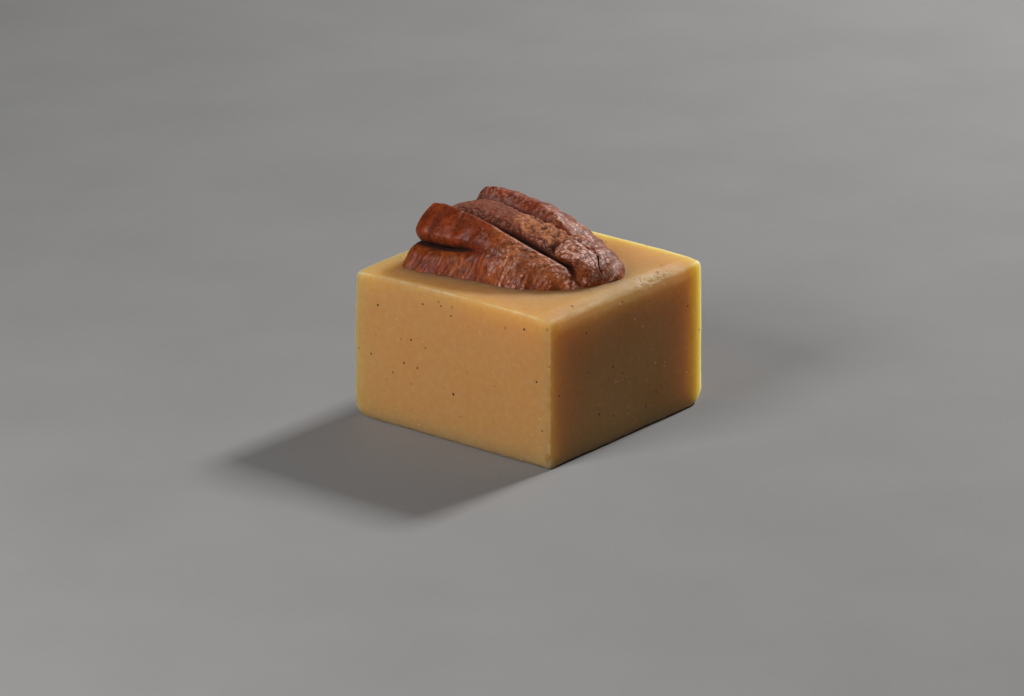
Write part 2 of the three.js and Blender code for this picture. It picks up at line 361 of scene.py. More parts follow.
def lobe_weights(angle, ring):
    """How much of each lobe shows at an angle over the back."""
    left_edge = ring.angles["left groove"]
    right_edge = ring.angles["right groove"]
    left = 1.0 - smoothstep(angle, left_edge - LOBE_BLEND, left_edge + LOBE_BLEND)
    right = smoothstep(angle, right_edge - LOBE_BLEND, right_edge + LOBE_BLEND)
    return {"left": left, "middle": 1.0 - left - right, "right": right}


def half_width(angle, ring):
    """Half the width of a section, on the side that an angle over the back lies on."""
    return ring.half_widths["left" if angle < 90.0 else "right"]


def blend_lobes(weights, values):
    """The lobes' values, mixed by how much of each lobe shows."""
    return sum(weight * values[name] for name, weight in weights.items())


def back_radius(angle, y, ring, weights):
    """Distance from the nut's axis to the main form of its back, and how far inside a furrow that is, for
    painted shade.
    """
    turn = math.radians(angle)
    height = blend_lobes(weights, ring.heights)
    radius = superellipse_radius(turn, half_width(angle, ring), height, SECTION_FULLNESS)
    radius += ring.flare * valley(min(angle, 180.0 - angle) / FLARE_WIDTH)
    sunk = 0.0
    shade = 0.0
    for name, furrow in FURROWS.items():
        inside = valley((angle - ring.angles[name]) / furrow["width"])
        sunk += ring.depths[name] * inside
        shade = max(shade, inside * min(ring.depths[name] / SHADED_DEPTH, 1.0))
    radius -= ring.crown_drop * ((angle - CROWN["at"]) / CROWN["span"]) ** 2 * weights["middle"]
    radius -= CRACK["depth"] * valley((y - CRACK["at"]) / CRACK["width"]) * weights["middle"]
    wave = math.cos(math.tau * (y + FOLD["lean"] * math.sin(turn)) / FOLD["pitch"])
    return radius - sunk + FOLD["depth"] * math.cos(turn) ** 2 * wave, shade


# Fine relief of the nut's skin. A number times a place is a noise's scale, in waves per millimetre, and a
# number times a zone is the zone's share.


def skin_zones(place, angle, ring, weights):
    """How strongly each zone of the nut's skin shows at a place."""
    left_groove = ring.angles["left groove"]
    near = smoothstep(ring.share, *NEAR_STRETCH)
    flank = weights["left"] + weights["right"]
    wall = weights["middle"] * (1.0 - smoothstep(angle - left_groove, *WALL_ANGLES))
    return SimpleNamespace(
        near=near,
        far=1.0 - smoothstep(ring.share, *FAR_STRETCH),
        flank=flank,
        left=weights["left"],
        right=weights["right"],
        middle=weights["middle"],
        skirt=flank * (1.0 - smoothstep(min(angle, 180.0 - angle), *SKIRT_ANGLES)),
        knob=weights["middle"] * smoothstep(-place.y, *KNOB_STRETCH),
        rim=weights["left"] * near * valley((angle - left_groove + RIM["before_groove"]) / RIM["width"]),
        wall=wall * min(ring.depths["left groove"], 1.0),
        past_groove=angle - left_groove,
    )


def flank_folds(place, angle, ring, zone):
    """Folds and tight pleats that cross the flanks from crest to margin: their height and the painted shade
    in their lines.
    """
    arc = math.radians(angle) * half_width(angle, ring)
    drift = place.y + FOLD["lean"] * math.sin(math.radians(angle)) + 0.7 * noise.noise(place * 0.4)
    folded = zone.flank * lerp(0.35, 0.8, max(zone.near, zone.skirt, zone.far))
    pleated = max(zone.skirt, 0.7 * zone.near * zone.flank)
    height = 0.0
    lines = 0.0
    for kind, strength in ((FLANK_FOLD, folded), (FLANK_PLEAT, pleated)):
        wave = noise.noise(Vector((drift * kind["per_mm"], arc * kind["along"], kind["seed"])))
        line = crease(wave, kind["line_width"])
        height += strength * (kind["height"] * wave - kind["line_depth"] * line)
        lines = max(lines, kind["dark"] * strength * line)
    return height, lines


def wrinkle_web(place, angle, ring, zone):
    """A web of fine wrinkles, strongest on the lumpy knob, which has lengthwise ridges on its right."""
    bent = place * 1.5 + 0.5 * noise.noise_vector(place * 0.9)
    distances, _ = noise.voronoi(bent)
    line = 1.0 - smoothstep(distances[1] - distances[0], 0.0, WEB["line_width"])
    webbed = max(0.75 * zone.knob, zone.wall, 0.4 * zone.middle)
    webbed = max(webbed, 0.6 * zone.near * zone.flank, 0.15 * zone.flank)
    crusty = zone.wall * (1.0 - zone.knob)
    line_depth = lerp(WEB["line_depth"], WEB["crust_depth"], crusty)
    height = webbed * (WEB["height"] * noise.noise(place * 1.9) - line_depth * line)
    height += KNOB["lump"] * zone.knob * noise.noise(place * 0.75 + Vector((3.1, 0.0, 0.0)))
    wander = KNOB["wander"] * noise.noise(place * 0.7)
    ridge = math.cos(math.tau * (angle - ring.angles["near pleat"] + wander) / KNOB["ridge_pitch"])
    height += KNOB["ridge"] * zone.knob * smoothstep(angle, *KNOB["ridge_angles"]) * ridge
    # The web's lines carry painted shade
    return height, lerp(0.6, 0.9, crusty) * webbed * line


def roll_creases(place, angle, zone):
    """Depth of the creases that run across the fat left roll, as a share of the deepest."""
    depth = 0.0
    for line in ROLL_CREASES:
        at = line["at"] + line["lean"] * (angle - line["angle"])
        at += ROLL_CREASE["wobble"] * noise.noise(place * 0.8)
        across = zone.left * smoothstep(angle, line["from"], line["from"] + ROLL_CREASE["fade_in"])
        across *= 1.0 - smoothstep(angle, line["to"] - ROLL_CREASE["fade_out"], line["to"])
        depth = max(depth, line["share"] * across * valley((place.y - at) / ROLL_CREASE["width"]))
    return depth


def past_slit(place, angle):
    """How far a place lies on the far side of the slit that arches over the knob."""
    arch = SLIT["at"] - SLIT["bow"] * (angle - SLIT["angle"]) ** 2
    return place.y - (arch + SLIT["wobble"] * noise.noise(place * 1.1))


def slit_share(place, angle, zone):
    """Depth of the thin slit that parts the knob from the corky stretch, as a share of the deepest."""
    slit = zone.middle * valley(past_slit(place, angle) / SLIT["width"])
    return slit * (smoothstep(angle, *SLIT["from"]) * (1.0 - smoothstep(angle, *SLIT["to"])))


def cork_patch(place, angle, zone, shade):
    """The torn, corky patch along the crest of the middle lobe: its strength, its height and its pits."""
    torn = zone.middle * smoothstep(past_slit(place, angle), *CORK["past_slit"])
    torn *= 1.0 - smoothstep(place.y, *CORK["fading"])
    torn *= smoothstep(zone.past_groove + CORK["ragged"] * noise.noise(place * 0.6), *CORK["past_groove"])
    torn *= 1.0 - smoothstep(shade, 0.1, 0.5)
    pit = smoothstep(noise.noise(place * 1.6 + Vector((9.1, 0.0, 0.0))), 0.2, 0.5)
    flakes = noise.turbulence(place * 1.7, 4, True)
    return torn, torn * (CORK["flake"] * flakes - CORK["pit"] * pit - CORK["sunk"]), torn * pit


def hump(share, stretch):
    """0 at both ends of a stretch along the nut and 1 half-way between them."""
    middle = (stretch["from"] + stretch["to"]) / 2
    return smoothstep(share, stretch["from"], middle) * smoothstep(share, stretch["to"], middle)


def slot_share(zone, ring):
    """The slot at the bottom of the left groove, which undercuts the middle lobe half-way along. Its share
    both sinks it and paints shade in it.
    """
    reach = SLOT["narrow"]
    if zone.past_groove > 0.0:
        reach = lerp(SLOT["narrow"], SLOT["wide"], hump(ring.share, SLOT))
    inside = 1.0 - smoothstep(abs(zone.past_groove), reach, reach + SLOT["soft"])
    return inside * min(ring.depths["left groove"], 1.0)


def shoulder(zone, ring):
    """How far the left roll stoops towards the groove, which lays the slot open, as a share of the most."""
    return zone.left * hump(ring.share, SHOULDER) * smoothstep(zone.past_groove, *SHOULDER["past_groove"])


def bloom_and_highlight(place, angle, ring, zone, folds):
    """Pale skin, mostly painted highlight and sheen: frost on the roll's rim, painted sparkle on the knob,
    streaks on the right lobe and fold tips; the dots are pale flecks.
    """
    grains = smoothstep(noise.fractal(place * 2.6, 0.6, 2.0, 3), -0.25, 0.45)
    flecks = smoothstep(noise.noise(Vector((angle * 0.22, place.y * 0.7, 3.0))), 0.0, 0.25)
    streaks = zone.right * zone.near * flecks * smoothstep(angle, *BLOOM["streaks_from"])
    streaks *= 1.0 - 0.75 * smoothstep(angle, *BLOOM["streaks_to"])
    dots = zone.left * zone.near * smoothstep(noise.noise(place * 3.0), 0.1, 0.4)
    tips = zone.left * zone.near * (1.0 - smoothstep(angle, *BLOOM["tips"])) * smoothstep(folds, 0.0, 0.05)
    sparkle = zone.knob * smoothstep(angle, *BLOOM["knob_from"])
    sparkle *= 1.0 - smoothstep(-place.y, *BLOOM["knob_to"])
    frost = zone.rim * lerp(0.6, 2.2, smoothstep(ring.share, *BLOOM["frost_from"]))
    bloom = max(frost * grains, sparkle * lerp(0.7, 2.0, grains), 1.3 * streaks, tips, 0.6 * dots)
    return max(bloom, 0.18 * zone.near * zone.left, 0.2 * zone.right, 0.25 * zone.near * zone.wall)


def skin_relief(place, angle, ring, weights, shade):
    """Height of the skin's wrinkles at a place in millimetres, and the marks that its colours follow."""
    zone = skin_zones(place, angle, ring, weights)
    folds, fold_lines = flank_folds(place, angle, ring, zone)
    web, web_lines = wrinkle_web(place, angle, ring, zone)
    creased = roll_creases(place, angle, zone)
    torn, cork, pits = cork_patch(place, angle, zone, shade)
    slit = slit_share(place, angle, zone)
    slot = slot_share(zone, ring)
    dry = zone.middle * (1.0 - zone.knob) * (1.0 - torn)

    height = SKIN["swell"] * noise.noise(place * 0.42) + SKIN["ripple"] * noise.noise(place * 1.1)
    height += folds + web + cork + SKIN["rim"] * zone.rim * noise.noise(place * 1.9)
    height += SKIN["dry"] * dry * noise.turbulence(place * 1.5, 3, True) - SKIN["dry_sunk"] * dry
    height -= SHOULDER["drop"] * shoulder(zone, ring)
    height += SKIN["grain"] * noise.fractal(place * 3.4, 1.0, 2.0, 3)
    height -= ROLL_CREASE["depth"] * creased + SLIT["depth"] * slit + SLOT["depth"] * slot

    # Painted shade in the furrows' bottoms, the wrinkle lines, the creases, the slit, the slot and the cork's
    # pits
    lines = max(fold_lines, web_lines)
    dark = max(smoothstep(shade, 0.25, 0.8), 0.8 * lines, 0.85 * creased)
    rough = max(0.08, 0.25 * zone.skirt, 0.6 * zone.near * zone.flank, 0.8 * zone.rim, zone.knob)
    rough = max(rough, torn, 0.6 * zone.wall)
    # Painted highlight and sheen: the skin is paler on the tops of the wrinkles and in the bloom, less so on
    # smooth skin
    pale = (0.25 + 2.5 * height) * lerp(0.35, 1.0, rough) + 0.75 * bloom_and_highlight(place, angle, ring, zone, folds)
    marks = {
        "furrow": min(1.0, max(dark, slit, slot, 0.6 * pits)),
        "crest": min(1.0, max(0.0, pale)) * (1.0 - lines),
        "cork": min(1.0, 1.3 * torn),
        "dry": dry,
        "gold": max(0.08, 0.5 * zone.skirt, 0.8 * zone.near * zone.flank, 0.65 * zone.knob),
        "rough": rough,
    }
    return height, marks


def nut_point(step, ring):
    """A point of the nut's skin in millimetres, with its marks."""
    angle = column_angle(step, ring)
    over = angle <= 180.0
    turn = math.radians(angle)
    weights = lobe_weights(angle if over else 360.0 - angle, ring)
    own_share = ring.plan_girth**ring.reach_blend
    reach = lerp(ring.reaches["middle"], blend_lobes(weights, ring.reaches), own_share)
    rise = min(angle, 180.0 - angle) if over else 0.0
    reach += ring.flare_reach * valley(rise / FLARE_WIDTH) * ring.plan_girth
    y = ring.reach_share * reach
    upward = blend_lobes(weights, ring.profile_girths)
    marks = dict.fromkeys(NUT_MARKS, 0.0)
    if over:
        radius, shade = back_radius(angle, y, ring, weights)
    else:
        margin = half_width(360.0 - angle, ring) + ring.flare
        radius = superellipse_radius(turn, margin, NUT_SINK, UNDERSIDE_FULLNESS)

    def place(reach_out):
        return Vector((
            NUT_AXIS_X - ring.plan_girth * reach_out * math.cos(turn),
            y,
            BLOCK_TOP + upward * reach_out * math.sin(turn),
        ))

    if over:
        height, marks = skin_relief(place(radius), angle, ring, weights, shade)
        radius += height
    return place(radius), marks


def nut_bmesh():
    """The nut as a sphere whose rings become its sections."""
    noise.seed_set(NOISE_SEED)
    bm = bmesh.new()
    columns = sum(NUT_COLUMNS) + UNDERSIDE_COLUMNS
    bmesh.ops.create_uvsphere(bm, u_segments=columns, v_segments=NUT_RINGS, radius=1.0)
    layers = {name: bm.verts.layers.float.new(name) for name in NUT_MARKS}
    rings = [nut_ring(math.pi * row / NUT_RINGS) for row in range(NUT_RINGS + 1)]
    for vert in bm.verts:
        latitude = math.acos(min(max(vert.co.z, -1.0), 1.0))
        turn = math.atan2(vert.co.y, vert.co.x) % math.tau
        ring = rings[round(latitude / math.pi * NUT_RINGS)]
        point, marks = nut_point(round(turn / math.tau * columns) % columns, ring)
        vert.co = point * MM
        for name, layer in layers.items():
            vert[layer] = marks[name]
    bmesh.ops.recalc_face_normals(bm, faces=bm.faces)
    return bm


# The block of ganache


def graded_steps(half_size, low_rounding, high_rounding):
    """Grid positions from -half_size to half_size, with narrow steps inside the rounded edges."""
    low = -half_size + low_rounding
    high = half_size - high_rounding
    steps = [lerp(-half_size, low, row / EDGE_ROWS) for row in range(EDGE_ROWS)]
    steps += [lerp(low, high, row / FACE_ROWS) for row in range(FACE_ROWS + 1)]
    steps += [lerp(high, half_size, row / EDGE_ROWS) for row in range(1, EDGE_ROWS + 1)]
    return steps


def rounded_block(settings):
    """A fine grid over the block's faces, with elliptical roundings along every edge, in millimetres."""
    side_rounding = settings.side_rounding / MM
    roundings = {1: settings.top_rounding / MM, -1: settings.base_rounding / MM}
    half_height = BLOCK_TOP / 2
    side_steps = graded_steps(BLOCK_HALF, side_rounding, side_rounding)
    height_steps = graded_steps(half_height, roundings[-1], roundings[1])
    count = len(side_steps) - 1
    bm = bmesh.new()
    bmesh.ops.create_cube(bm, size=2.0)
    bmesh.ops.subdivide_edges(bm, edges=bm.edges[:], cuts=count - 1, use_grid_fill=True)
    for vert in bm.verts:
        x, y, z = (round((value + 1.0) / 2.0 * count) for value in vert.co)
        corner = Vector((side_steps[x], side_steps[y], height_steps[z]))
        rise = roundings[1 if corner.z > 0 else -1]
        rounding = Vector((side_rounding, side_rounding, rise))
        limit = Vector((BLOCK_HALF, BLOCK_HALF, half_height)) - rounding
        inner = Vector(min(max(value, -most), most) for value, most in zip(corner, limit))
        outward = Vector((value - kept) / reach for value, kept, reach in zip(corner, inner, rounding))
        outward.normalize()
        vert.co = inner + outward * rounding + Vector((0.0, 0.0, half_height))
    return bm


def rubbed_share(place, settings):
    """How strongly the rubbed top edge of the right-hand face shows at a place. It fades towards its ends."""
    reach = settings.rub_reach / MM
    along = smoothstep(abs(place.x), BLOCK_HALF, BLOCK_HALF - RUB["corner_reach"])
    down = smoothstep(BLOCK_TOP - place.z, reach, 0.0)
    return lerp(RUB["at_corners"], 1.0, along) * smoothstep(place.y + BLOCK_HALF, reach, 0.0) * down


def slump(bm, settings):
    """Leans the sides in, lets the top corners droop, wears two base corners and rubs one top edge round."""
    for vert in bm.verts:
        x, y, z = vert.co
        corner_share = x * y / BLOCK_HALF**2
        vert.co.z -= settings.corner_droop / MM * corner_share**DROOP_SHARPNESS * z / BLOCK_TOP
        worn = max(-corner_share, 0.0) ** WEAR_SHARPNESS * valley(z / (settings.wear_height / MM))
        pull = settings.base_wear / MM * worn
        narrowing = 1.0 - settings.side_taper / MM / BLOCK_HALF * z / BLOCK_TOP
        vert.co.x *= narrowing
        vert.co.y *= narrowing
        vert.co.x -= math.copysign(pull, x)
        vert.co.y -= math.copysign(pull, y)
        rubbed = rubbed_share(Vector((x, y, z)), settings)
        vert.co.y += settings.rub_in / MM * rubbed
        vert.co.z -= settings.rub_down / MM * rubbed


def crumbly_share(place):
    """How strongly the crumbly stretch of the top edge above the right-hand face shows at a place."""
    patch = CRUMBLY_PATCH
    stretch = smoothstep(place.x, patch["from"], patch["from"] + patch["fade"])
    stretch *= 1.0 - smoothstep(place.x, patch["to"] - patch["fade"], patch["to"])
    away = math.hypot(place.y - patch["y"], place.z - BLOCK_TOP) / patch["reach"]
    return stretch * (1.0 - smoothstep(away, 0.3, 1.0))


def edge_chip(place):
    """Depth of the small chip knocked out of the front edge just above the base."""
    away = (place - Vector(CHIP["at"])).length / CHIP["reach"]
    return CHIP["depth"] * (1.0 - smoothstep(away, 0.25, 1.0))


def cut_relief(place, normal, squareness, crumbly):
    """Height of a cut face's unevenness at a place, in millimetres. The base stays flat."""
    if place.z < FLAT_BASE:
        return 0.0
    along = place.x if abs(normal.y) > abs(normal.x) else place.y
    drag = (1.0 - abs(normal.z)) * noise.noise(Vector((along * 1.6, place.z * 0.12, 4.0)))
    on_edge = 1.0 - smoothstep(squareness, 0.75, 0.99)
    ragged = CUT_FACE["edge_wobble"] * noise.noise(place * 0.55)
    ragged += CUT_FACE["edge_crumble"] * noise.noise(place * 1.7)
    pits = max(0.0, noise.turbulence(place * 1.4, 3, True) - 0.35)
    height = CUT_FACE["swell"] * noise.noise(place * 0.14) + CUT_FACE["ripple"] * noise.noise(place * 0.8)
    height += CUT_FACE["knife_drag"] * drag + on_edge * ragged
    return height - CRUMBLY_PATCH["depth"] * crumbly * pits - edge_chip(place)


def roughen(bm, settings):
    """Gives the cut faces their soft unevenness, knife drag and ragged edges, and marks the edges' painted
    highlight and the crumbly stretch.
    """
    bm.normal_update()
    layers = {name: bm.verts.layers.float.new(name) for name in BLOCK_MARKS}
    moves = []
    for vert in bm.verts:
        place = vert.co
        squareness = max(abs(value) for value in vert.normal)
        ragged = smoothstep(noise.noise(place * 0.5), -0.3, 0.3)
        # Painted highlight along the rounded edges, patchy, and weaker on the rubbed edge
        pale = (1.0 - smoothstep(squareness, 0.74, 0.92)) * lerp(0.4, 1.0, ragged)
        crumbly = crumbly_share(place)
        vert[layers["edge"]] = pale * lerp(1.0, RUB["paleness"], rubbed_share(place, settings))
        vert[layers["crumbly"]] = crumbly
        moves.append(vert.normal * cut_relief(place, vert.normal, squareness, crumbly))
    for vert, move in zip(bm.verts, moves):
        vert.co += move
        vert.co.z = max(vert.co.z, 0.0)


def press_nut_in(bm, nut, settings):
    """Sinks the top under the nut and lets the ganache creep up its margin."""
    seat_depth = NUT_SINK + settings.seat_slack / MM
    rim = settings.creep / MM
    for vert in bm.verts:
        if vert.co.z < BLOCK_TOP - SEAT["searched"]:
            continue
        point = vert.co * MM
        gap = nut.find_nearest(point)[3] / MM
        above, facing, _, _ = nut.ray_cast(point, Vector((0.0, 0.0, 1.0)))
        if above is not None and facing.z > 0.0:
            vert.co.z -= seat_depth * smoothstep(gap, *SEAT["edge"])
            gap = 0.0
        vert.co.z += rim * math.exp(-gap / SEAT["creep_fall"]) * (1.0 - smoothstep(gap, *SEAT["creep_end"]))


# Shader nodes


def feed(tree, socket, value):
    """Links a socket to an output, or sets its value. A colour gets its alpha."""
    if isinstance(value, bpy.types.NodeSocket):
        tree.links.new(value, socket)
    elif socket.type == "RGBA":
        socket.default_value = (*value[:3], 1.0)
    else:
        socket.default_value = value


def add_node(tree, kind, inputs, **options):
    """Adds a shader node with its options and with its inputs by name."""
    node = tree.nodes.new(kind)
    for name, value in options.items():
        setattr(node, name, value)
    for name, value in inputs.items():
        feed(tree, node.inputs[name], value)
    return node


def new_material(name):
    """An empty material with its shader linked to its output."""
    material = bpy.data.materials.new(name)
    material.use_nodes = True
    tree = material.node_tree
    tree.nodes.clear()
    shader = tree.nodes.new("ShaderNodeBsdfPrincipled")
    output = tree.nodes.new("ShaderNodeOutputMaterial")
    tree.links.new(shader.outputs["BSDF"], output.inputs["Surface"])
    return material, tree, shader


def place_in_mm(tree, stretch=(1.0, 1.0, 1.0)):
    """Object coordinates in millimetres, stretched where a pattern runs one way."""
    coordinates = tree.nodes.new("ShaderNodeTexCoord")
    scale = tuple(value / MM for value in stretch)
    mapping = add_node(tree, "ShaderNodeMapping", {"Vector": coordinates.outputs["Object"], "Scale": scale})
    return mapping.outputs["Vector"]


def noise_value(tree, place, scale, detail=3.0, roughness=0.5, distortion=0.0):
    """Noise from 0 to 1, with its scale in waves per millimetre."""
    inputs = {"Vector": place, "Scale": scale, "Detail": detail, "Roughness": roughness}
    return add_node(tree, "ShaderNodeTexNoise", {**inputs, "Distortion": distortion}).outputs["Fac"]


def remap(tree, value, low, high, to_low=0.0, to_high=1.0):
    """Spreads the range from low to high of a value over another range, and stops at its ends."""
    inputs = {"Value": value, "From Min": low, "From Max": high, "To Min": to_low, "To Max": to_high}
    return add_node(tree, "ShaderNodeMapRange", inputs).outputs["Result"]


def combine(tree, operation, first, second):
    """Two values put together by one of the shader's sums."""
    node = tree.nodes.new("ShaderNodeMath")
    node.operation = operation
    feed(tree, node.inputs[0], first)
    feed(tree, node.inputs[1], second)
    return node.outputs[0]


def mix_colours(tree, share, first, second):
    """The first colour with a share of the second."""
    node = tree.nodes.new("ShaderNodeMix")
    node.data_type = "RGBA"
    colours = [socket for socket in node.inputs if socket.type == "RGBA"]
    feed(tree, node.inputs["Factor"], share)
    feed(tree, colours[0], first)
    feed(tree, colours[1], second)
    return next(socket for socket in node.outputs if socket.type == "RGBA")


def mark_value(tree, name):
    """A mark that the mesh carries at its vertices."""
    return add_node(tree, "ShaderNodeAttribute", {}, attribute_name=name).outputs["Fac"]


def bump(tree, height, strength, depth):
    """Fine relief in the shading, with its depth in millimetres."""
    inputs = {"Height": height, "Strength": strength, "Distance": depth * MM}
    return add_node(tree, "ShaderNodeBump", inputs).outputs["Normal"]


def faint_seeds(tree, place, pitch, largest, share, strength):
    """Soft dots of seed just under the surface: one cell in a few holds a dot, of its own size."""
    cells = add_node(tree, "ShaderNodeTexVoronoi", {"Vector": place, "Scale": 1.0 / pitch})
    draw = add_node(tree, "ShaderNodeSeparateColor", {"Color": cells.outputs["Color"]})
    radius = remap(tree, draw.outputs["Red"], 0.0, 1.0, 0.25 * largest / pitch, largest / pitch)
    inside = combine(tree, "SUBTRACT", radius, cells.outputs["Distance"])
    dot = remap(tree, inside, -0.25 * largest / pitch, 0.35 * largest / pitch)
    held = remap(tree, draw.outputs["Green"], 1.0 - share, 1.0 - 0.6 * share)
    return combine(tree, "MULTIPLY", combine(tree, "MULTIPLY", dot, held), strength)


def ganache_material(settings):
    """Satin, slightly see-through ganache with clouds, dapple and faint seed, painted highlight along its
    edges, and a pale crumbly stretch.
    """
    material, tree, shader = new_material("ganache")
    place = place_in_mm(tree)
    cloud = noise_value(tree, place, 0.13, 3.0)
    colour = mix_colours(tree, remap(tree, cloud, 0.35, 0.65), settings.colour, settings.warm_colour)
    dapple = noise_value(tree, place, 1.3, 4.0, 0.6)
    colour = mix_colours(tree, remap(tree, dapple, 0.45, 0.75, 0.0, 0.5), colour, settings.pale_colour)
    for kind in FAINT_SEEDS:
        colour = mix_colours(tree, faint_seeds(tree, place, **kind), colour, settings.seed_colour)
    # Painted highlight on the edges, and the pale crumbly stretch
    edge = combine(tree, "MULTIPLY", mark_value(tree, "edge"), remap(tree, dapple, 0.35, 0.6, 0.4, 0.9))
    crumbly = combine(tree, "MULTIPLY", mark_value(tree, "crumbly"), remap(tree, dapple, 0.4, 0.6))
    colour = mix_colours(tree, combine(tree, "MAXIMUM", edge, crumbly), colour, settings.edge_highlight_and_crumbly_colour)
    feed(tree, shader.inputs["Base Color"], colour)
    smear = noise_value(tree, place, 0.5, 4.0)
    feed(tree, shader.inputs["Roughness"], remap(tree, smear, 0.3, 0.7, 0.55, 0.70))
    fine = noise_value(tree, place, 4.0, 4.0, 0.6)
    feed(tree, shader.inputs["Normal"], bump(tree, fine, 0.25, 0.03))
    shader.inputs["Subsurface Weight"].default_value = 1.0
    shader.inputs["Subsurface Radius"].default_value = settings.glow
    shader.inputs["Subsurface Scale"].default_value = settings.glow_depth
    shader.inputs["Specular IOR Level"].default_value = 0.2
    return material


def pecan_material(settings):
    """Waxy nut skin: patches, golden flanks, dark dashes, bloom with painted highlight and sheen on the
    crests, dry skin, cork, and painted shade in the furrows.
    """
    material, tree, shader = new_material("pecan skin")
    place = place_in_mm(tree)
    patches = noise_value(tree, place, 0.45, 5.0, 0.6)
    colour = mix_colours(tree, remap(tree, patches, 0.35, 0.68), settings.skin_dark, settings.skin_light)
    golden = noise_value(tree, place, 0.28, 3.0, 0.55, 0.4)
    golden = combine(tree, "MULTIPLY", remap(tree, golden, 0.36, 0.6), mark_value(tree, "gold"))
    colour = mix_colours(tree, golden, colour, settings.skin_gold)
    dashes = noise_value(tree, place_in_mm(tree, (2.6, 2.6, 0.8)), 1.0, 4.0, 0.6, 0.4)
    colour = mix_colours(tree, remap(tree, dashes, 0.48, 0.66, 0.0, 0.8), colour, settings.skin_dark)
    # Pale flecks, and painted highlight and sheen on the crests
    speckle = noise_value(tree, place, 2.2, 4.0, 0.65)
    crest = combine(tree, "MULTIPLY", mark_value(tree, "crest"), remap(tree, speckle, 0.36, 0.58))
    colour = mix_colours(tree, remap(tree, crest, 0.1, 0.7, 0.0, 0.9), colour, settings.bloom_and_highlight)
    crumbs = noise_value(tree, place, 1.9, 5.0, 0.7)
    dry = combine(tree, "MULTIPLY", mark_value(tree, "dry"), remap(tree, crumbs, 0.35, 0.62, 0.1, 0.9))
    colour = mix_colours(tree, dry, colour, settings.skin_dry)
    cork = mix_colours(tree, remap(tree, crumbs, 0.38, 0.62), settings.cork_dark, settings.cork_light)
    colour = mix_colours(tree, remap(tree, mark_value(tree, "cork"), 0.1, 0.55), colour, cork)
    # Painted shade in the furrows, creases, wrinkle lines and pits
    colour = mix_colours(tree, mark_value(tree, "furrow"), colour, settings.furrow_shade_colour)
    feed(tree, shader.inputs["Base Color"], colour)
    gloss = remap(tree, noise_value(tree, place, 0.9, 4.0), 0.3, 0.7, 0.40, 0.55)
    dull = combine(tree, "MAXIMUM", mark_value(tree, "cork"), mark_value(tree, "furrow"))
    dull = combine(tree, "MULTIPLY", combine(tree, "MAXIMUM", dull, mark_value(tree, "dry")), 0.4)
    gloss = combine(tree, "SUBTRACT", gloss, combine(tree, "MULTIPLY", mark_value(tree, "rough"), 0.1))
    feed(tree, shader.inputs["Roughness"], combine(tree, "ADD", gloss, dull))
    grain = combine(tree, "MULTIPLY", noise_value(tree, place, 3.6, 3.0, 0.6), mark_value(tree, "rough"))
    feed(tree, shader.inputs["Normal"], bump(tree, grain, 1.0, 0.18))
    shader.inputs["Specular IOR Level"].default_value = 0.28
    return material


def speck_material(settings):
    """Vanilla seed, near-black to reddish brown."""
    material, tree, shader = new_material("vanilla seed")
    tint = noise_value(tree, place_in_mm(tree), 0.35, 2.0)
    colour = mix_colours(tree, remap(tree, tint, 0.45, 0.7), settings.colour, settings.brown)
    feed(tree, shader.inputs["Base Color"], colour)
    grain = noise_value(tree, place_in_mm(tree), 9.0)
    feed(tree, shader.inputs["Normal"], bump(tree, grain, 0.4, 0.03))
    shader.inputs["Roughness"].default_value = 0.5
    return material


def crumb_material(settings):
    """Fatty crumbs, from the ganache's pale dapple to nearly white."""
    material, tree, shader = new_material("ganache crumb")
    tint = noise_value(tree, place_in_mm(tree), 0.8, 2.0)
    colour = mix_colours(tree, remap(tree, tint, 0.4, 0.6), settings.pale_colour, settings.crumb_colour)
    feed(tree, shader.inputs["Base Color"], colour)
    shader.inputs["Roughness"].default_value = 0.3
    shader.inputs["Subsurface Weight"].default_value = 0.3
    shader.inputs["Subsurface Radius"].default_value = settings.glow
    shader.inputs["Subsurface Scale"].default_value = 0.15 * MM
    return material


def floor_material(settings):
    """Plain, matt floor with a faint cloudiness."""
    material, tree, shader = new_material("floor")
    tone = noise_value(tree, place_in_mm(tree), 0.05, 4.0)
    paler = tuple(min(1.0, value * 1.06) for value in settings.floor_colour)
    colour = mix_colours(tree, remap(tree, tone, 0.35, 0.65), settings.floor_colour, paler)
    feed(tree, shader.inputs["Base Color"], colour)
    shader.inputs["Roughness"].default_value = 0.7
    shader.inputs["Specular IOR Level"].default_value = 0.2
    return material


# Specks and crumbs on the faces


def face_spots(rng, per_square_mm, top_share):
    """Random places on the block's side faces and top, each with the direction out of the face."""
    side_area = 2 * BLOCK_HALF * BLOCK_TOP
    faces = [(Vector((1, 0, 0)), 1.0), (Vector((-1, 0, 0)), 1.0), (Vector((0, 1, 0)), 1.0)]
    faces += [(Vector((0, -1, 0)), 1.0), (Vector((0, 0, 1)), top_share)]
    for outward, share in faces:
        area = side_area if outward.z == 0 else (2 * BLOCK_HALF) ** 2
        for _ in range(round(per_square_mm * share * area)):
            u = rng.uniform(-1, 1) * BLOCK_HALF
            v = rng.uniform(-1, 1) * BLOCK_HALF
            rise = rng.uniform(0.02, 1.0) * BLOCK_TOP
            if outward.z:
                yield Vector((u, v, BLOCK_TOP)), outward
            elif outward.x:
                yield Vector((outward.x * BLOCK_HALF, u, rise)), outward
            else:
                yield Vector((u, outward.y * BLOCK_HALF, rise)), outward


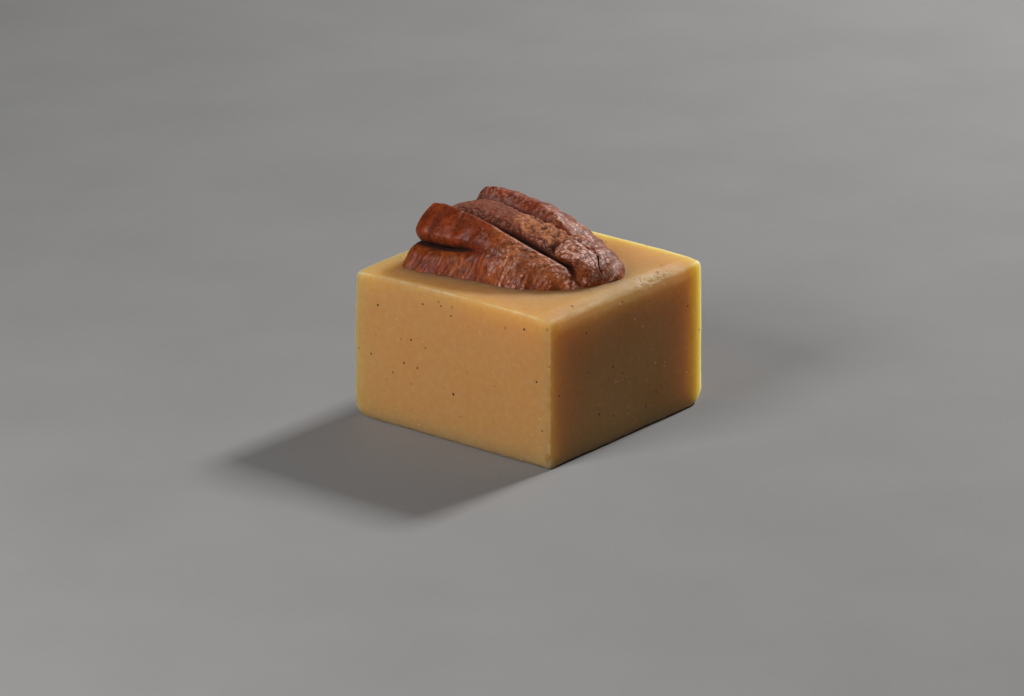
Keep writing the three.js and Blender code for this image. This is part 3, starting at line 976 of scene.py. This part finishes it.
class Scatter:
    """Small bits of one kind of stuff, dropped one by one onto the ganache where no nut is in the way."""

    def __init__(self, seed):
        self.rng = random.Random(seed)
        self.bm = bmesh.new()
        self.ganache = surface_of("ganache")
        self.nut = surface_of("pecan")

    def add(self, spot, outward, radius, kind):
        """Drops one bit into the face at a spot and turns it at random."""
        turn = self.rng.uniform(0, kind["turn"])
        start = (spot + outward * BIT_DROP) * MM
        hit, normal, _, distance = self.ganache.ray_cast(start, -outward)
        if hit is None:
            return
        above = start + outward * NUT_HEADROOM * MM
        if self.nut.ray_cast(above, -outward, NUT_HEADROOM * MM + distance)[0] is not None:
            return
        height = radius * kind["flatness"]
        facing = normal.to_track_quat("Z", "X").to_matrix().to_4x4() @ Matrix.Rotation(turn, 4, "Z")
        size = Matrix.Diagonal((radius, radius * BIT_SLIMNESS, height, 1.0))
        place = Matrix.Translation(hit / MM - normal * height * kind["sunk"])
        matrix = Matrix.Scale(MM, 4) @ place @ facing @ size
        bmesh.ops.create_icosphere(self.bm, subdivisions=1, radius=1.0, matrix=matrix)


def speck_bmesh(settings):
    """Vanilla specks over the faces, most of them small."""
    specks = Scatter(SPECK_SEED)
    rng = specks.rng
    for spot, outward in face_spots(rng, settings.per_square_mm, SPECKS["top_share"]):
        radius = lerp(settings.smallest, settings.largest, rng.random() ** SPECKS["small_bias"]) / 2 / MM
        specks.add(spot, outward, radius, SPECKS)
    return specks.bm


def crumb_bmesh():
    """Fine crumbs over the faces, glinting ones on the right-hand face and a row along the crumbly edge."""
    crumbs = Scatter(CRUMB_SEED)
    rng = crumbs.rng
    for spot, outward in face_spots(rng, FACE_CRUMBS["per_square_mm"], FACE_CRUMBS["top_share"]):
        crumbs.add(spot, outward, lerp(*FACE_CRUMBS["radius"], rng.random() ** 2), FACE_CRUMBS)
    for _ in range(GLINTS["count"]):
        x = rng.gauss(GLINTS["x"], GLINTS["spread"])
        spot = Vector((x, -BLOCK_HALF, rng.uniform(*GLINTS["rise"]) * BLOCK_TOP))
        crumbs.add(spot, Vector((0, -1, 0)), lerp(*GLINTS["radius"], rng.random() ** 2), GLINTS)
    for _ in range(EDGE_CRUMBS["count"]):
        x = rng.uniform(CRUMBLY_PATCH["from"], CRUMBLY_PATCH["to"])
        spot = Vector((x, rng.gauss(CRUMBLY_PATCH["y"], EDGE_CRUMBS["spread"]), BLOCK_TOP))
        crumbs.add(spot, Vector((0, 0, 1)), rng.uniform(*EDGE_CRUMBS["radius"]), EDGE_CRUMBS)
    return crumbs.bm


# Floor, lights and camera


def make_floor(settings):
    """A plain floor that reaches far past the picture."""
    bm = bmesh.new()
    bmesh.ops.create_grid(bm, x_segments=1, y_segments=1, size=FLOOR_REACH)
    mesh = bpy.data.meshes.new("floor")
    bm.to_mesh(mesh)
    bm.free()
    mesh.materials.append(floor_material(settings))
    floor = bpy.data.objects.new("floor", mesh)
    bpy.context.scene.collection.objects.link(floor)


def softbox(name, values, aim, power):
    """A square softbox that faces the truffle."""
    light = bpy.data.lights.new(name, "AREA")
    light.size = values["size"]
    light.energy = power
    lamp = bpy.data.objects.new(name, light)
    lamp.location = values["place"]
    lamp.rotation_euler = (aim - lamp.location).to_track_quat("-Z", "Y").to_euler()
    bpy.context.scene.collection.objects.link(lamp)


def ambient_light(settings):
    """Weak, even light from all round."""
    world = bpy.data.worlds.new("studio")
    world.use_nodes = True
    background = world.node_tree.nodes["Background"]
    background.inputs["Color"].default_value = (1.0, 1.0, 1.0, 1.0)
    background.inputs["Strength"].default_value = settings.ambient
    bpy.context.scene.world = world


def place_camera(settings, aim):
    """Puts the camera at the photograph's viewing angle, with no lens shift."""
    level = Vector((math.cos(settings.azimuth), math.sin(settings.azimuth), 0.0))
    back = level * math.cos(settings.elevation)
    back.z = math.sin(settings.elevation)
    level_right = (-back).cross(Vector((0.0, 0.0, 1.0))).normalized()
    level_up = level_right.cross(-back)
    right = math.cos(settings.roll) * level_right + math.sin(settings.roll) * level_up
    up = math.cos(settings.roll) * level_up - math.sin(settings.roll) * level_right
    view_width = settings.distance * SENSOR_WIDTH / settings.lens
    spot = aim + back * settings.distance
    spot -= right * OFF_CENTRE[0] * view_width
    spot -= up * OFF_CENTRE[1] * view_width
    data = bpy.data.cameras.new("camera")
    data.lens = settings.lens
    data.sensor_width = SENSOR_WIDTH
    data.clip_start = NEAREST_SEEN
    camera = bpy.data.objects.new("camera", data)
    turned = Matrix((right, up, back)).transposed().to_4x4()
    camera.matrix_world = Matrix.Translation(spot) @ turned
    bpy.context.scene.collection.objects.link(camera)
    bpy.context.scene.camera = camera


# Settings


def colour_setting(name, description, default):
    """A colour that a user may change."""
    return FloatVectorProperty(
        name=name, description=description, subtype="COLOR", min=0.0, max=1.0, default=default,
    )


def length_setting(name, description, millimetres, least=0.0):
    """A length that a user may change, with its default and its least value in millimetres."""
    return FloatProperty(
        name=name, description=description, unit="LENGTH", min=least * MM, default=millimetres * MM,
    )


class PecanSettings(bpy.types.PropertyGroup):
    """Colours of the nut."""

    skin_dark: colour_setting("Dark skin", "Darker patches and streaks of the skin", (0.100, 0.012, 0.003))
    skin_light: colour_setting("Light skin", "Lighter patches of the skin", (0.320, 0.048, 0.007))
    # Pale flecks, and painted highlight and sheen on the tops of the wrinkles
    bloom_and_highlight: colour_setting("Bloom", "Pale bloom on the tops of the wrinkles", (0.850, 0.510, 0.410))
    skin_gold: colour_setting("Golden skin", "Golden-brown patches of the skin", (0.560, 0.150, 0.029))
    skin_dry: colour_setting("Dry skin", "Dull, pinkish skin of the middle lobe", (0.270, 0.098, 0.056))
    # Painted shade for the furrows and creases
    furrow_shade_colour: colour_setting("Furrows", "Bottoms of the furrows and creases", (0.026, 0.006, 0.004))
    cork_light: colour_setting("Light cork", "Torn, corky patch along the middle lobe", (0.720, 0.268, 0.116))
    cork_dark: colour_setting("Dark cork", "Pits of the corky patch", (0.190, 0.055, 0.025))


class GanacheSettings(bpy.types.PropertyGroup):
    """Sizes and colours of the cut block."""

    side_rounding: length_setting("Side rounding", "Radius of the upright edges", 0.55)
    top_rounding: length_setting("Top rounding", "Height of the rounding round the top", 0.65)
    base_rounding: length_setting("Base rounding", "Height of the rounding round the base", 0.4)
    corner_droop: length_setting("Corner droop", "How far the top corners hang below the middle", 0.35)
    base_wear: length_setting("Base wear", "How far the left and right base corners are worn in", 0.65)
    wear_height: length_setting("Wear height", "Height to which the base corners are worn", 2.2, 0.1)
    side_taper: length_setting("Side taper", "How far each side leans in from the base to the top", 0.2)
    rub_in: length_setting("Rub in", "How far in the top edge of the right-hand face is rubbed", 0.35)
    rub_down: length_setting("Rub down", "How far down the top edge of the right-hand face is rubbed", 0.5)
    rub_reach: length_setting("Rub reach", "How far from that edge the rubbing reaches", 2.0, 0.1)
    seat_slack: length_setting("Seat slack", "Room under the nut's hidden underside", 0.1)
    creep: length_setting("Creep", "How far the ganache creeps up the nut's margin", 0.1)
    colour: colour_setting("Ganache", "Main colour of the ganache", (0.520, 0.265, 0.090))
    warm_colour: colour_setting("Warm ganache", "Warmer clouds in the ganache", (0.530, 0.255, 0.080))
    pale_colour: colour_setting("Pale ganache", "Paler dapple of the ganache", (0.585, 0.335, 0.130))
    crumb_colour: colour_setting("Crumbs", "Fine, fatty crumbs on the cut faces", (0.750, 0.640, 0.500))
    # Painted highlight along the edges, and the pale crumbly stretch
    edge_highlight_and_crumbly_colour: colour_setting("Rubbed edge", "Pale, matt edges and crumbly stretch", (0.640, 0.435, 0.240))
    seed_colour: colour_setting("Faint seed", "Seed that shows from under the surface", (0.180, 0.080, 0.030))
    glow: FloatVectorProperty(
        name="Glow", description="How far red, green and blue light travel, as shares of the glow's depth",
        min=0.0, max=1.0, default=(1.0, 0.87, 0.36),
    )
    glow_depth: length_setting("Glow depth", "How far light travels in the ganache", 12.5)


class SpeckSettings(bpy.types.PropertyGroup):
    """Sizes and colours of the vanilla specks."""

    smallest: length_setting("Smallest", "Width of the smallest speck", 0.2)
    largest: length_setting("Largest", "Width of the largest speck", 0.5)
    per_square_mm: FloatProperty(
        name="Per square mm", description="Specks on a square millimetre of a side face",
        min=0.0, default=0.05,
    )
    colour: colour_setting("Seed", "Near-black seed", (0.020, 0.013, 0.009))
    brown: colour_setting("Brown seed", "Reddish-brown seed", (0.110, 0.042, 0.018))


class StageSettings(bpy.types.PropertyGroup):
    """Floor, lights and camera."""

    floor_colour: colour_setting("Floor", "Plain pale floor", (0.25, 0.246, 0.242))
    ambient: FloatProperty(
        name="Ambient", description="Strength of the light from all round", min=0.0, default=0.006,
    )
    back_power: FloatProperty(
        name="Back light", description="Power of the softbox behind the right-hand face",
        unit="POWER", min=0.0, default=2.65,
    )
    side_power: FloatProperty(
        name="Side light", description="Power of the softbox in front of the left-hand face",
        unit="POWER", min=0.0, default=0.53,
    )
    azimuth: FloatProperty(
        name="Azimuth", description="Direction of the camera round the truffle, from +X",
        unit="ROTATION", default=math.radians(218.749),
    )
    elevation: FloatProperty(
        name="Elevation", description="Height of the camera above the horizon",
        unit="ROTATION", default=math.radians(19.395),
    )
    roll: FloatProperty(
        name="Roll", description="Tilt of the camera about its own view",
        unit="ROTATION", default=math.radians(0.140),
    )
    distance: FloatProperty(
        name="Distance", description="From the camera to the middle of the block",
        unit="LENGTH", min=0.0, default=0.48,
    )
    lens: FloatProperty(
        name="Lens", description="Focal length on a sensor 36 mm wide",
        unit="CAMERA", min=1.0, default=150.96,
    )


# Operators


class TRUFFLE_OT_pecan(bpy.types.Operator):
    """Models the pecan half with its furrows, wrinkles and corky patch"""

    bl_idname = "truffle.pecan"
    bl_label = "Pecan half"

    def execute(self, context):
        material = pecan_material(context.scene.truffle_pecan)
        finish_piece(nut_bmesh(), "pecan", material, "pecan_half")
        return {"FINISHED"}


class TRUFFLE_OT_ganache(bpy.types.Operator):
    """Models the cut block of ganache with the pecan pressed into it"""

    bl_idname = "truffle.ganache"
    bl_label = "Ganache block"

    def execute(self, context):
        settings = context.scene.truffle_ganache
        bm = rounded_block(settings)
        slump(bm, settings)
        roughen(bm, settings)
        press_nut_in(bm, surface_of("pecan"), settings)
        bmesh.ops.scale(bm, vec=(MM, MM, MM), verts=bm.verts)
        bmesh.ops.recalc_face_normals(bm, faces=bm.faces)
        finish_piece(bm, "ganache", ganache_material(settings), "ganache_block")
        return {"FINISHED"}


class TRUFFLE_OT_specks(bpy.types.Operator):
    """Scatters vanilla specks over the faces of the ganache"""

    bl_idname = "truffle.specks"
    bl_label = "Vanilla specks"

    def execute(self, context):
        settings = context.scene.truffle_specks
        finish_piece(speck_bmesh(settings), "vanilla_specks", speck_material(settings))
        return {"FINISHED"}


class TRUFFLE_OT_crumbs(bpy.types.Operator):
    """Scatters fine crumbs over the cut faces and along the crumbly edge"""

    bl_idname = "truffle.crumbs"
    bl_label = "Fine crumbs"

    def execute(self, context):
        material = crumb_material(context.scene.truffle_ganache)
        finish_piece(crumb_bmesh(), "crumbs", material)
        return {"FINISHED"}


class TRUFFLE_OT_stage(bpy.types.Operator):
    """Sets up the floor, the two softboxes, the ambient light and the camera"""

    bl_idname = "truffle.stage"
    bl_label = "Stage"

    def execute(self, context):
        settings = context.scene.truffle_stage
        make_floor(settings)
        aim = Vector((0.0, 0.0, BLOCK_TOP * MM / 2))
        softbox("back softbox", BACK_SOFTBOX, aim, settings.back_power)
        softbox("side softbox", SIDE_SOFTBOX, aim, settings.side_power)
        ambient_light(settings)
        place_camera(settings, aim)
        context.scene.view_settings.view_transform = "Standard"
        return {"FINISHED"}


class TRUFFLE_PT_panel(bpy.types.Panel):
    """Lists the truffle's pieces and their settings"""

    bl_label = "Pecan truffle"
    bl_idname = "TRUFFLE_PT_panel"
    bl_space_type = "VIEW_3D"
    bl_region_type = "UI"
    bl_category = "Truffle"

    def draw(self, context):
        for operator, group in STEPS:
            box = self.layout.box()
            box.operator(operator.bl_idname)
            settings = getattr(context.scene, group)
            for name in settings.__annotations__:
                box.prop(settings, name)


STEPS = (
    (TRUFFLE_OT_pecan, "truffle_pecan"),
    (TRUFFLE_OT_ganache, "truffle_ganache"),
    (TRUFFLE_OT_specks, "truffle_specks"),
    (TRUFFLE_OT_crumbs, "truffle_ganache"),
    (TRUFFLE_OT_stage, "truffle_stage"),
)
SETTINGS = {
    "truffle_pecan": PecanSettings,
    "truffle_ganache": GanacheSettings,
    "truffle_specks": SpeckSettings,
    "truffle_stage": StageSettings,
}
CLASSES = (*SETTINGS.values(), *(operator for operator, _ in STEPS), TRUFFLE_PT_panel)


def register():
    """Makes the settings, the operators and the panel known to Blender."""
    for each in CLASSES:
        bpy.utils.register_class(each)
    for name, group in SETTINGS.items():
        setattr(bpy.types.Scene, name, PointerProperty(type=group))


def unregister():
    """Takes them out again."""
    for name in SETTINGS:
        delattr(bpy.types.Scene, name)
    for each in reversed(CLASSES):
        bpy.utils.unregister_class(each)


def main():
    """Makes the pieces and the stage in order."""
    register()
    bpy.ops.truffle.pecan()
    bpy.ops.truffle.ganache()
    bpy.ops.truffle.specks()
    bpy.ops.truffle.crumbs()
    bpy.ops.truffle.stage()


if __name__ == "__main__":
    main()
